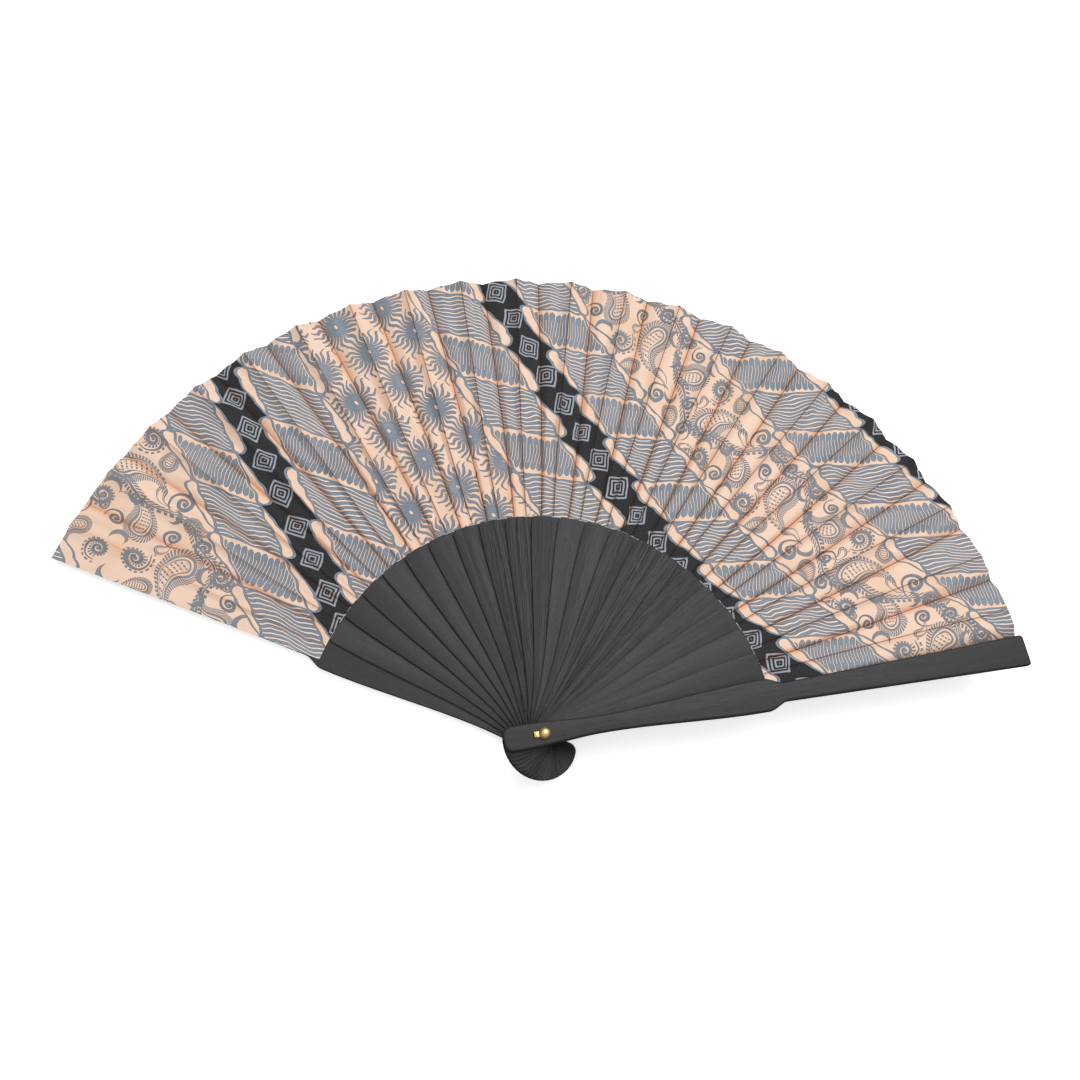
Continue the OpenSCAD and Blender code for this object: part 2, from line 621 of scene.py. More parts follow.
class PaisleyField(GroupRecipe):
    """Field of fringed drops, curls, crescents and stems. Gives a signed distance in mm."""

    title = "paisley field"
    takes = ("Across", "Along")
    gives = ("Distance",)

    DROPS = (
        # across, along, turn, head radius, fringed
        (4.0, 13.0, 0.44, 4.9, 1.0),
        (-7.5, 36.0, 0.04, 4.1, 1.0),
        (14.5, 30.5, 0.70, 2.4, 1.0),
        (-16.0, 8.5, 0.30, 2.5, 1.0),
        (8.0, 50.0, 0.58, 2.1, 0.0),
        (-17.5, 51.0, 0.16, 1.9, 0.0),
        (-3.5, 23.5, 0.86, 1.9, 0.0),
        (20.0, 12.0, 0.52, 1.7, 0.0),
        (-30.0, 44.0, 0.40, 2.6, 1.0),
        (30.0, 17.0, 0.90, 3.4, 1.0),
    )
    HORNS = (
        # across, along, turn, radius
        (-3.0, 50.5, 0.15, 3.8),
        (-17.5, 33.5, 0.62, 4.2),
        (8.5, 37.0, 0.38, 3.6),
        (11.0, 5.5, 0.90, 4.0),
        (-27.0, 18.0, 0.05, 5.0),
        (31.0, 36.0, 0.55, 5.2),
    )
    CURLS = (
        # across, along, turn, radius, fringed
        (14.5, 41.5, 0.10, 4.4, 0.0),
        (-14.0, 22.5, 0.55, 4.6, 1.0),
        (16.5, 3.0, 0.80, 4.2, 1.0),
        (4.5, 27.0, 0.30, 3.4, 0.0),
        (-15.5, 43.5, 0.95, 3.2, 0.0),
        (15.0, 19.0, 0.40, 3.6, 0.0),
        (-27.5, 31.0, 0.20, 3.8, 1.0),
        (27.0, 47.0, 0.70, 4.4, 0.0),
        (26.5, 3.0, 0.35, 3.8, 0.0),
    )

    def draw(self, bench: Bench, given: Wires) -> Wires:
        """Lays every motif and keeps the nearest.

        Args:
            bench: the bench on the group's tree.
            given: the group's inputs by name.

        Returns:
            The group's outputs by name.
        """
        marks = []
        for across, along, turn, size, fringed in self.DROPS:
            spot = self.place(bench, given, across, along, turn, size)
            made = bench.group(Teardrop(), X=spot["X"], Y=spot["Y"], Size=size, Fringe=fringed)
            marks.append(made["Distance"])
        for across, along, turn, size, fringed in self.CURLS:
            spot = self.place(bench, given, across, along, turn, size)
            made = bench.group(Curl(), X=spot["X"], Y=spot["Y"], Size=size, Fringe=fringed)
            marks.append(made["Distance"])
        for across, along, turn, size in self.HORNS:
            spot = self.place(bench, given, across, along, turn, size)
            marks.append(self.horn(bench, spot, size))
        marks.append(self.stem(bench, given))
        return {"Distance": bench.least(*marks)}

    @staticmethod
    def place(bench: Bench, given: Wires, across: float, along: float,
              turn: float, size: float) -> Wires:
        """Local coordinates of one motif of the field.

        Args:
            bench: the bench on the field's tree.
            given: the field's inputs.
            across: its place across the field.
            along: its place along the field.
            turn: its turn, in whole turns.
            size: its size in mm.

        Returns:
            The motif's own X and Y.
        """
        values = {"Across": given["Across"], "Along": given["Along"], "At Across": across,
                  "At Along": along, "Turn": turn, "Size": size}
        return bench.group(MotifPlace(), **values)

    @staticmethod
    def horn(bench: Bench, spot: Wires, size: float) -> Wire:
        """Plain crescent with a pale line along its middle.

        Args:
            bench: the bench on the field's tree.
            spot: the motif's own X and Y.
            size: its radius in mm.

        Returns:
            Its signed distance in mm.
        """
        full = bench.hypot(spot["X"], spot["Y"]) - 1.0
        bite = bench.hypot(spot["X"] - 0.44, spot["Y"]) - 0.93
        vein = abs(bench.hypot(spot["X"] - 0.2, spot["Y"]) - 0.97) - 0.03
        return bench.most(full, -bite, -vein) * size

    def stem(self, bench: Bench, given: Wires) -> Wire:
        """Wavy stem with leaves along both its sides.

        Args:
            bench: the bench on the field's tree.
            given: the field's inputs.

        Returns:
            Its signed distance in mm.
        """
        steps = given["Along"] / REPEAT
        route = 3.0 + 12.5 * bench.sine(steps * 0.5 + 0.08) + 2.2 * bench.sine(steps * 2.0)
        off = (given["Across"] - route) * 0.72
        comb = abs(bench.math("FRACT", (given["Along"] + abs(off) * 0.8) / 1.75) - 0.5) - 0.23
        leaves = bench.most(comb * 1.5, abs(abs(off) - 1.35) - 0.62)
        return bench.least(abs(off) - 0.28, leaves)


class StripeBand(GroupRecipe):
    """Cells beside a black band, in turn filled with running lines and with fingers.

    Takes the distance from the band's middle, the place along it, both in mm, and the
    border's distance. Gives the stroke's signed distance, and masks for cream and for black.
    """

    title = "stripe band"
    takes = ("Off", "Along", "Border")
    gives = ("Distance", "Cream", "Black", "Field")

    START = 19.4           # from the pattern's centre back to a cell's edge
    LOBE = 5.0             # how far the inner lobes bulge
    OUTER_LOBE = 4.4
    LINES = 11.0           # running lines in a cell
    FINGER = 2.9           # width of a finger and its gap
    KNOT = 1.15            # radius of the knots between cells
    LEAN = 0.76            # true width of a slanted cell for each mm along the band

    def draw(self, bench: Bench, given: Wires) -> Wires:
        """Draws the black edge, its lobes, the cells and the outer lobes.

        Args:
            bench: the bench on the group's tree.
            given: the group's inputs by name.

        Returns:
            The group's outputs by name.
        """
        off, along, border = given["Off"], given["Along"], given["Border"]
        cell = (along + self.START) / CELL - (off - BAND_HALF) * (SLANT / CELL)
        index = bench.floor(cell)
        part = cell - index
        lines_cell = abs(bench.wrap(index, 2.0))
        inner = bench.math("POWER", part, 0.62)
        outer = 1.0 - bench.math("POWER", bench.most(1.0 - part, 0.0), 0.62)
        ripple = 0.75 * abs(bench.sine(part * 1.5))
        bulge_in = self.LOBE * bench.sine(inner * 0.5) + ripple
        bulge_out = self.OUTER_LOBE * bench.sine(outer * 0.5) + ripple
        waver = 0.35 * bench.sine(part * 3.0)
        black_edge = BAND_HALF + 0.5 - bulge_in
        lobe_edge = BAND_HALF + 0.9 - 0.10 * bulge_in + waver
        field_edge = border - 0.5 + bulge_out
        cell_edge = border - 0.9 + 0.10 * bulge_out + waver
        outlines = bench.least(
            abs(off - black_edge) - 0.55,
            abs(off - lobe_edge) - 0.42,
            abs(off - cell_edge) - 0.42,
            abs(off - field_edge) - 0.45,
        )
        inside = bench.most(lobe_edge - off, off - cell_edge)
        share = (off - BAND_HALF) / (border - BAND_HALF)
        wave = 0.055 * bench.sine(share * 1.3 + index * 0.37) + 0.007 * bench.sine(share * 4.6)
        tide = (part + wave) * self.LINES
        running = (abs(bench.math("FRACT", tide) - 0.5) - 0.30) * (CELL / self.LINES) * self.LEAN
        along_cell = off * TURN[0] + along * TURN[1]
        sway = 0.10 * bench.sine(part * 1.3 + index * 0.21)
        stroke = along_cell / self.FINGER + sway
        from_middle = abs(bench.math("FRACT", stroke) - 0.5)
        luck = bench.dice(bench.floor(stroke) + index * 31.0)
        finger = (from_middle - 0.42) * self.FINGER
        slit = (0.085 - from_middle) * self.FINGER
        tip = (abs(part - 0.5) - (0.38 + luck * 0.06)) * CELL * self.LEAN
        tip = tip + from_middle * from_middle * 7.0
        finger = bench.most(finger, tip, slit - bench.ease(tip, -4.0, -1.5, 0.0, 3.0))
        finger_zone = bench.most(finger, inside + 1.0)
        rim = abs(abs(part - 0.5) - 0.5) * CELL * self.LEAN - 0.35
        cells = bench.choose(lines_cell, finger_zone, bench.most(running, inside))
        rim = bench.most(rim, inside)
        knot = bench.hypot(bench.wrap(cell, 1.0) * CELL, off - BAND_HALF) - self.KNOT
        far_knot = bench.hypot(bench.wrap(cell, 1.0) * CELL, off - border) - self.KNOT
        strokes = bench.least(outlines, cells, rim, knot, far_knot)
        cream_lines = lines_cell * (inside < 0.0)
        cream_fingers = (1.0 - lines_cell) * (tip < 0.0) * (inside < -0.8)
        return {
            "Distance": strokes,
            "Cream": bench.most(cream_lines, cream_fingers),
            "Black": black_edge - 0.5 - off,
            "Field": off - field_edge,
        }


class Diamonds(GroupRecipe):
    """Nested squares along a black band. Gives a signed distance in mm."""

    title = "diamonds"
    takes = ("Off", "Along")
    gives = ("Distance",)

    SPACING = 16.6
    SIZE = 3.9             # half the width of the smallest outer square
    VARY = 0.9             # how much wider the largest is
    RINGS = ((1.0, 0.30), (0.66, 0.25), (0.34, 0.23))    # share of the size, half the line's width

    def draw(self, bench: Bench, given: Wires) -> Wires:
        """Turns the squares with the slanted cells and varies their size.

        Args:
            bench: the bench on the group's tree.
            given: the group's inputs by name.

        Returns:
            The group's outputs by name.
        """
        index = bench.floor(given["Along"] / self.SPACING + 0.5)
        dy = bench.wrap(given["Along"], self.SPACING)
        luck = bench.dice(index + 7.0)
        size = self.SIZE + luck * self.VARY
        first = abs(given["Off"] * TURN[0] - dy * TURN[1])
        second = abs(given["Off"] * TURN[1] + dy * TURN[0])
        square = bench.math("SMOOTH_MAX", first, second, 0.7)
        rings = bench.least(*(abs(square - size * share) - line for share, line in self.RINGS))
        dot = bench.hypot(given["Off"], dy) - 0.35 * luck
        return {"Distance": bench.least(rings, dot)}


class BatikPrint(GroupRecipe):
    """The whole printed pattern, from flat cloth coordinates in mm, as a colour."""

    title = "batik print"
    takes = ("Across", "Along")
    gives = ("Colour", "Dye")
    colours = ("Colour",)

    PEACH = (0.855, 0.635, 0.505, 1.0)
    DEEP_PEACH = (0.82, 0.56, 0.40, 1.0)
    CREAM = (0.84, 0.71, 0.63, 1.0)
    BLUE = (0.200, 0.240, 0.296, 1.0)
    PALE_BLUE = (0.28, 0.325, 0.385, 1.0)
    EDGE = (0.118, 0.118, 0.128, 1.0)
    BLACK = (0.022, 0.022, 0.024, 1.0)
    FADED_BLACK = (0.055, 0.055, 0.06, 1.0)
    CHALK = (0.36, 0.39, 0.44, 1.0)

    def draw(self, bench: Bench, given: Wires) -> Wires:
        """Finds the nearest band, then lays field, stripes and black over each other.

        Args:
            bench: the bench on the group's tree.
            given: the group's inputs by name.

        Returns:
            The group's outputs by name.
        """
        flat = bench.vector(given["Across"], given["Along"])
        wander = bench.noise(flat, 0.11, 1.0) - 0.5
        drift = bench.noise(bench.vector(given["Along"], given["Across"], 5.0), 0.11, 1.0) - 0.5
        across = given["Across"] + wander * 2.2
        along = given["Along"] + drift * 2.2
        middle, phase, before, after = self.nearest_band(bench, across)
        offset = across - middle
        off = abs(offset)
        right = offset > 0.0
        along_band = (along - phase) * (1.0 - 2.0 * right)
        border = bench.choose(right, before, after)
        sunny = (across > BANDS[SUN_FIELD].across) * (across < BANDS[SUN_FIELD + 1].across)
        stripes = bench.group(StripeBand(), Off=off, Along=along_band, Border=border)
        suns = bench.group(Sunburst(), Across=across, Along=along)["Distance"]
        paisley_middle = bench.choose(across > 0.0, PAISLEY_MIDDLES[0], PAISLEY_MIDDLES[1])
        in_field = across - paisley_middle
        paisleys = bench.group(PaisleyField(), Across=in_field, Along=along)["Distance"]
        field = bench.choose(sunny, paisleys, suns)
        field = bench.most(field, 0.6 - stripes["Field"])
        ink = bench.least(field, stripes["Distance"])
        squares = bench.group(Diamonds(), Off=offset, Along=along - phase)["Distance"]
        return self.colour(bench, flat, ink, stripes, squares)

    @staticmethod
    def nearest_band(bench: Bench, across: Wire) -> "tuple[Wire, ...]":
        """Middle, centre and both stripe widths of the nearest band.

        Args:
            bench: the bench on the print's tree.
            across: the place across the bands.

        Returns:
            The four values.
        """
        found = [BANDS[0].across, BANDS[0].phase, BANDS[0].before, BANDS[0].after]
        for last, band in zip(BANDS, BANDS[1:]):
            past = across > (last.across + last.after + band.across - band.before) / 2
            steps = (band.across - last.across, band.phase - last.phase,
                     band.before - last.before, band.after - last.after)
            found = [past * step + value for step, value in zip(steps, found)]
        return tuple(found)

    def colour(self, bench: Bench, flat: Wire, ink: Wire, stripes: Wires,
               squares: Wire) -> Wires:
        """Turns the distances into dyes with darker edges and uneven uptake.

        Args:
            bench: the bench on the print's tree.
            flat: the place on the flat cloth.
            ink: signed distance to the blue strokes.
            stripes: the stripe band's outputs.
            squares: signed distance to the nested squares.

        Returns:
            The colour and how dyed it is.
        """
        uneven = bench.noise(flat, 0.05, 3.0)
        fine = bench.noise(flat, 1.4, 2.0)
        ground = bench.blend(bench.ease(uneven, 0.42, 0.75), self.PEACH, self.DEEP_PEACH)
        ground = bench.blend(stripes["Cream"] * 0.85, ground, self.CREAM)
        blue = bench.blend(bench.ease(fine + uneven, 0.75, 1.35), self.BLUE, self.PALE_BLUE)
        dyed = bench.blend(bench.ease(ink, -0.26, 0.03), blue, self.EDGE)
        inked = bench.ease(ink, -0.04, 0.20, 1.0, 0.0)
        cloth = bench.blend(inked, ground, dyed)
        black = bench.blend(bench.ease(fine, 0.45, 0.85), self.BLACK, self.FADED_BLACK)
        black = bench.blend(bench.ease(squares, -0.05, 0.2, 1.0, 0.0), black, self.CHALK)
        night = bench.ease(stripes["Black"], -0.12, 0.12)
        return {"Colour": bench.blend(night, cloth, black), "Dye": bench.most(inked, night)}


# ---------------------------------------------------------------- finishes


def shader(name: str) -> "tuple[bpy.types.Material, Bench, bpy.types.Node]":
    """A new material with its Principled BSDF.

    Args:
        name: the material's name.

    Returns:
        The material, a bench on its tree and its Principled BSDF node.
    """
    material = bpy.data.materials.new(name)
    material.use_nodes = True
    bench = Bench(material.node_tree)
    bsdf = next(node for node in material.node_tree.nodes if node.type == "BSDF_PRINCIPLED")
    return material, bench, bsdf


class WoodGrain(GroupRecipe):
    """Lengthwise grain from a stick's own coordinates in mm: a tone and a height."""

    title = "wood grain"
    takes = ("Along", "Across", "Seed", "Groove")
    gives = ("Tone", "Height")

    def draw(self, bench: Bench, given: Wires) -> Wires:
        """Adds fine fibres, wider figure and, where asked, open grooves.

        Args:
            bench: the bench on the group's tree.
            given: the group's inputs by name.

        Returns:
            The group's outputs by name.
        """
        shift = given["Seed"] * 37.0
        along, across = given["Along"], given["Across"]
        fibres = bench.noise(bench.vector(along * 0.15, across * 2.4, shift), 1.0, 4.0, 0.65)
        figure = bench.noise(bench.vector(along * 0.02, across * 0.30, shift + 9.0), 1.0, 1.0)
        drift = bench.noise(bench.vector(along * 0.05, across * 0.3, shift + 5.0), 1.0, 1.0)
        course = (across + drift * 1.4) * 2.3
        line = bench.noise(bench.vector(along * 0.006, course, shift + 21.0), 1.0, 2.0)
        patches = bench.noise(bench.vector(along * 0.10, across * 1.2, shift), 1.0, 2.0)
        broken = bench.ease(patches, 0.32, 0.5)
        groove = bench.ease(abs(line - 0.5), 0.0, 0.06, 1.0, 0.0) * broken * given["Groove"]
        pores = bench.noise(bench.vector(along * 0.55, across * 4.5, shift + 3.0), 1.0, 2.0)
        pore = bench.ease(pores, 0.60, 0.74)
        tone = 0.32 + fibres * 0.30 + figure * 0.22 - groove * 0.50 - pore * 0.16
        return {"Tone": tone, "Height": fibres * 0.4 - groove * 1.6 - pore * 0.6}


@dataclass(frozen=True)
class PaintedWood:
    """Black paint rubbed thin over open grain."""

    dark: Colour = (0.010, 0.010, 0.011, 1.0)
    light: Colour = (0.033, 0.033, 0.036, 1.0)
    roughness: float = 0.52
    relief: float = 0.35
    gloss: float = 0.3

    def make(self, name: str, direction: float, seed: float, groove: float) -> bpy.types.Material:
        """Builds the finish for one stick.

        Args:
            name: the material's name.
            direction: the stick's direction at rest, in radians from +X.
            seed: number that tells this stick's grain from the others'.
            groove: how open the grain is, from 0 to 1.

        Returns:
            The material.
        """
        material, bench, bsdf = shader(name)
        place = bench.node("ShaderNodeTexCoord")
        turn = bench.node("ShaderNodeMapping", vector_type="POINT")
        bench.feed(turn.inputs["Vector"], Wire(bench, place.outputs["Object"]))
        turn.inputs["Rotation"].default_value = (0.0, 0.0, -direction)
        turn.inputs["Scale"].default_value = (1 / MM, 1 / MM, 1 / MM)
        along, across, _ = bench.split(Wire(bench, turn.outputs[0]))
        grain = bench.group(WoodGrain(), Along=along, Across=across, Seed=seed, Groove=groove)
        colour = bench.blend(bench.ease(grain["Tone"], 0.22, 0.72), self.dark, self.light)
        bench.feed(bsdf.inputs["Base Color"], colour)
        dull, shiny = self.roughness + 0.1, self.roughness - 0.06
        rough = bench.ease(grain["Tone"], 0.2, 0.8, dull, shiny)
        bench.feed(bsdf.inputs["Roughness"], rough)
        bench.feed(bsdf.inputs["Normal"], bench.bump(grain["Height"], self.relief, 0.15 * MM))
        bsdf.inputs["Specular IOR Level"].default_value = self.gloss
        return material


@dataclass(frozen=True)
class PolishedBrass:
    """Brass with a soft polish and fine scratches."""

    bright: Colour = (0.72, 0.52, 0.24, 1.0)
    dull: Colour = (0.56, 0.38, 0.16, 1.0)

    def make(self) -> bpy.types.Material:
        """Builds the finish.

        Returns:
            The material.
        """
        material, bench, bsdf = shader("polished brass")
        place = Wire(bench, bench.node("ShaderNodeTexCoord").outputs["Object"])
        tarnish = bench.noise(place, 420.0, 3.0)
        x, y, z = bench.split(place)
        scratch = bench.noise(bench.vector(x * 9.0, y * 0.8, z), 5200.0, 2.0)
        colour = bench.blend(bench.ease(tarnish, 0.4, 0.75), self.bright, self.dull)
        bench.feed(bsdf.inputs["Base Color"], colour)
        bench.feed(bsdf.inputs["Roughness"], bench.ease(scratch, 0.3, 0.8, 0.38, 0.52))
        bench.feed(bsdf.inputs["Normal"], bench.bump(scratch, 0.12, 0.02 * MM))
        bsdf.inputs["Metallic"].default_value = 1.0
        return material


class Side(Enum):
    """Which side of the cloth a finish is for."""

    FACE = "printed face"
    BACK = "faded back"


@dataclass(frozen=True)
class PrintedCotton:
    """Thin batik cotton, printed on its face and paler behind, with painted shade along its
    creases.
    """

    crease: Colour = (0.80, 0.46, 0.27, 1.0)         # warm painted shade and bounced light inside a crease
    shadow: Colour = (0.24, 0.17, 0.15, 1.0)         # painted shade: the dark line along each crease
    gap: Colour = (0.62, 0.54, 0.50, 1.0)            # between the threads
    bare: Colour = (0.80, 0.62, 0.50, 1.0)           # undyed cloth behind
    thread: float = 0.42                             # from thread to thread, in mm
    gloss: float = 0.25
    fuzz: float = 0.12

    def make(self, side: Side) -> bpy.types.Material:
        """Builds the cloth for one side.

        Args:
            side: the printed face or the faded back.

        Returns:
            The material.
        """
        material, bench, bsdf = shader(f"batik cotton {side.value}")
        across, along, reach = bench.split(bench.attribute(PleatedLeaf.FLAT))
        to_crease, lift, sharp = bench.split(bench.attribute(PleatedLeaf.FOLD))
        pattern = bench.group(BatikPrint(), Across=across, Along=along)
        colour = pattern["Colour"]
        if side is Side.BACK:
            colour = bench.blend(0.45, colour, self.bare)
        # painted shade: warm darkening near each crease, strongest in the valleys, standing in for
        # shade and light bounced inside the fold
        painted_crease_shade = bench.ease(to_crease, 0.0, 2.6, 0.55, 0.0) * bench.ease(lift, -1.0, 0.4, 1.0, 0.35)
        colour = bench.blend(painted_crease_shade, colour, self.crease, "MULTIPLY")
        # painted shade: thin dark line along each crease, fainter on the first, flatter folds
        line = bench.ease(to_crease, 0.08, 0.40, 0.75, 0.0) * sharp
        colour = bench.blend(line, colour, self.shadow, "MULTIPLY")
        weave = bench.sine(across / self.thread) * bench.sine(along / self.thread)
        colour = bench.blend(0.10 + weave * 0.10, colour, self.gap, "MULTIPLY")
        bench.feed(bsdf.inputs["Base Color"], colour)
        slub = bench.noise(bench.vector(across * 0.3, along * 3.0), 1.0, 2.0)
        rumple = bench.noise(bench.vector(across, along), 0.16, 3.0)
        ray = bench.vector(across / reach * 75.0, along / reach * 75.0)
        pucker = bench.noise(ray, 1.0, 2.0) * bench.ease(reach, 97.0, 145.0, 3.4, 0.9)
        height = weave * 0.25 + slub * 0.5 + rumple * 2.2 + pucker
        bench.feed(bsdf.inputs["Normal"], bench.bump(height, 0.5, 0.22 * MM))
        bench.feed(bsdf.inputs["Roughness"], 0.78 + pattern["Dye"] * 0.06)
        bsdf.inputs["Specular IOR Level"].default_value = self.gloss
        bsdf.inputs["Sheen Weight"].default_value = self.fuzz
        bsdf.inputs["Sheen Roughness"].default_value = 0.5
        return material


# ---------------------------------------------------------------- the fan's plan


@dataclass(frozen=True)
class FanPlan:
    """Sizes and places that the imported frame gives, in metres and radians."""

    last: int                        # number of the front guard, the back guard being 0
    pitch: float                     # turn from one stick to the next
    first_direction: float           # the back guard's direction from +X
    leaf_inner: float
    leaf_outer: float
    levels: "tuple[float, ...]"      # height of the cloth on each stick

    @classmethod
    def read(cls) -> "FanPlan":
        """Works the plan out from the frame's joints and pleats.

        Returns:
            The plan.
        """
        joints = frame["record"]["behaviour"]["joints"]
        pitch = math.radians(joints[0]["range_deg"][1])
        last = len(joints)
        pleat = frame["nodes"]["pleat_10"].data
        reach = [math.hypot(v.co.x, v.co.y) for v in pleat.vertices]
        levels = []
        for index in range(last + 1):
            low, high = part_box(f"pleat_{index:02d}")
            levels.append((low[2] + high[2]) / 2)
        first_direction = math.pi / 2 + pitch * last / 2
        return cls(last, pitch, first_direction, min(reach), max(reach), tuple(levels))

    def direction(self, index: float) -> float:
        """Direction of a stick at rest, or of a place between two sticks."""
        return self.first_direction - index * self.pitch

    def stick(self, index: int) -> str:
        """Body and node name of a stick.

        Args:
            index: the stick's number.

        Returns:
            The name.
        """
        if index == 0:
            return Body.BACK.value
        if index == self.last:
            return Body.FRONT.value
        return f"rib_{index:02d}"


# ---------------------------------------------------------------- pieces


def select_only(piece: bpy.types.Object) -> None:
    """Makes one object the only selected and the active one.

    Args:
        piece: the object.
    """
    bpy.ops.object.select_all(action="DESELECT")
    piece.select_set(True)
    bpy.context.view_layer.objects.active = piece


@dataclass
class Sticks:
    """The two guards and the ribs, with rounded edges and painted grain."""

    plan: FanPlan
    wood: PaintedWood = field(default_factory=PaintedWood)
    guard_round: float = 1.35 * MM
    inner_round: float = 0.25 * MM
    rib_round: float = 0.17 * MM

    SEED_STEP = 1.37           # sets each stick's grain apart from the next one's
    CLOSED_GRAIN = 0.12        # how open the grain of a fine strip is
    COARSE = (8.5, 1.4), (14.4, 1.9)     # middle and spread of the ribs from coarser strips
    LONG_EDGE = math.radians(50)         # an edge at least as sharp as this is rounded
    BORE = 3 * MM                        # edges nearer than this to the axis stay sharp
    LEVEL = 0.01 * MM

    def build(self) -> None:
        """Makes every stick and dresses it."""
        for index in range(self.plan.last + 1):
            node = self.plan.stick(index)
            guard = node in (Body.BACK.value, Body.FRONT.value)
            piece = self.rounded(node, index, guard)
            groove = self.CLOSED_GRAIN if guard else self.open_grain(index)
            direction = self.plan.direction(index)
            seed = index * self.SEED_STEP
            finish = self.wood.make(f"painted wood {node}", direction, seed, groove)
            piece.data.materials.clear()
            piece.data.materials.append(finish)
            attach(piece, node)
            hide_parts(node)
            LOG.info("stick %s: %d faces", piece.name, len(piece.data.polygons))

    @staticmethod
    def open_grain(index: int) -> float:
        """How open a rib's grain is.

        Args:
            index: the rib's number.

        Returns:
            The openness, up to 1 in the two groups of ribs from coarser strips.
        """
        coarse = max(math.exp(-((index - middle) / spread) ** 2)
                     for middle, spread in Sticks.COARSE)
        return Sticks.CLOSED_GRAIN + (1.0 - Sticks.CLOSED_GRAIN) * coarse

    def rounded(self, node: str, index: int, guard: bool) -> bpy.types.Object:
        """A copy of a stick's solid with its long edges rounded.

        Args:
            node: the stick's CAD node.
            index: the stick's place, counted from the back guard.
            guard: whether it is a guard.

        Returns:
            The new object.
        """
        piece = copy_of(node, f"{node}_wood")
        low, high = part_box(node)
        shape = bmesh.new()
        shape.from_mesh(piece.data)
        weights = shape.edges.layers.float.new("bevel_weight_edge")
        outer_z = low[2] if index == 0 else high[2]
        for edge in shape.edges:
            if len(edge.link_faces) != 2 or edge.calc_face_angle(0.0) < self.LONG_EDGE:
                continue
            middle = (edge.verts[0].co + edge.verts[1].co) / 2
            flat = abs(edge.verts[0].co.z - edge.verts[1].co.z) < self.LEVEL
            if not flat or math.hypot(middle.x, middle.y) < self.BORE:
                continue
            outer = abs(middle.z - outer_z) < self.LEVEL
            edge[weights] = 1.0 if outer or not guard else self.inner_round / self.guard_round
        shape.to_mesh(piece.data)
        shape.free()
        width, segments = (self.guard_round, 5) if guard else (self.rib_round, 2)
        finish_edges(piece, width, segments)
        return piece


def copy_of(node: str, name: str) -> bpy.types.Object:
    """A clean, merged copy of a CAD node's mesh.

    Args:
        node: the CAD node.
        name: the new piece's name.

    Returns:
        The new object.
    """
    mesh = frame["nodes"][node].data.copy()
    piece = bpy.data.objects.new(name, mesh)
    bpy.context.scene.collection.objects.link(piece)
    select_only(piece)
    bpy.ops.object.mode_set(mode="EDIT")
    bpy.ops.mesh.select_all(action="SELECT")
    bpy.ops.mesh.remove_doubles(threshold=0.001 * MM)
    bpy.ops.mesh.dissolve_limited(angle_limit=math.radians(0.6))
    bpy.ops.object.mode_set(mode="OBJECT")
    return piece


def finish_edges(piece: bpy.types.Object, width: float, segments: int) -> None:
    """Rounds the marked edges of a piece and smooths its shading.

    Args:
        piece: the object, with its edges weighted.
        width: the rounding in metres.
        segments: how many steps round it.
    """
    select_only(piece)
    bevel = piece.modifiers.new("rounding", "BEVEL")
    bevel.limit_method = "WEIGHT"
    bevel.width = width
    bevel.segments = segments
    bevel.use_clamp_overlap = True
    bpy.ops.object.modifier_apply(modifier=bevel.name)
    bpy.ops.object.shade_smooth_by_angle(angle=math.radians(32))


@dataclass
class Rivet:
    """The domed rivet and its two washers."""

    brass: PolishedBrass = field(default_factory=PolishedBrass)
    edge_round: float = 0.09 * MM

    def build(self) -> None:
        """Dresses the three brass pieces."""
        finish = self.brass.make()
        for node in ("rivet_pin", "tab_washer", "tail_washer"):
            piece = copy_of(node, f"{node}_brass")
            shape = bmesh.new()
            shape.from_mesh(piece.data)
            weights = shape.edges.layers.float.new("bevel_weight_edge")
            for edge in shape.edges:
                if len(edge.link_faces) == 2 and edge.calc_face_angle(0.0) > Sticks.LONG_EDGE:
                    edge[weights] = 1.0
            shape.to_mesh(piece.data)
            shape.free()
            finish_edges(piece, self.edge_round, 3)
            piece.data.materials.clear()
            piece.data.materials.append(finish)
            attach(piece, Body.BACK.value)
            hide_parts(node)
            LOG.info("brass %s", piece.name)


